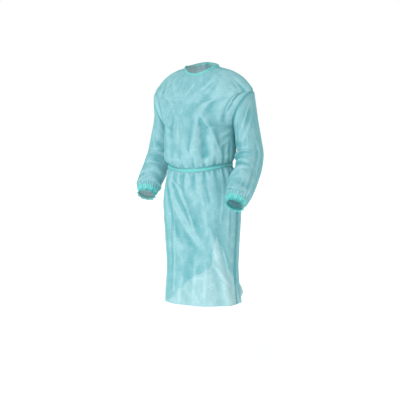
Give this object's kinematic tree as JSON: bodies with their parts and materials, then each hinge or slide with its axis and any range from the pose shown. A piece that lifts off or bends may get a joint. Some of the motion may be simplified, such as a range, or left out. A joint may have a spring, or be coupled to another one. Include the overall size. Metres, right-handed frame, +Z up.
{
  "type": "disposable isolation gown",
  "caption": "Long-sleeved nonwoven isolation gown in its worn, hollow form, with elastic cuffs, a bound neck, and a waist tie knotted behind.",
  "frame": {"origin": "middle of the neck opening, level with the points where the shoulder seams meet the neck", "axes": "+Z up the wearer's body, -Y out of the front, +X to the wearer's left"},
  "size_m": [0.6041, 0.3979, 1.1186],
  "materials": {
    "spunbonded_nonwoven": "thin translucent spunbonded polypropylene, mint green, matt with a faint sheen",
    "doubled_nonwoven": "the same cloth doubled and gathered, a deeper green"
  },
  "bodies": {
    "root": {"front_panel": "spunbonded_nonwoven", "back_panel_left": "spunbonded_nonwoven", "back_panel_right": "spunbonded_nonwoven", "sleeve_left": "spunbonded_nonwoven", "sleeve_right": "spunbonded_nonwoven", "cuff_left": "doubled_nonwoven", "cuff_right": "doubled_nonwoven", "neck_binding": "doubled_nonwoven", "neck_tie_knot": "doubled_nonwoven", "neck_tie_end_left": "doubled_nonwoven", "neck_tie_end_right": "doubled_nonwoven", "waist_tie": "doubled_nonwoven", "waist_tie_knot": "doubled_nonwoven", "waist_tie_end_left": "doubled_nonwoven", "waist_tie_end_right": "doubled_nonwoven"}
  },
  "joints": []
}
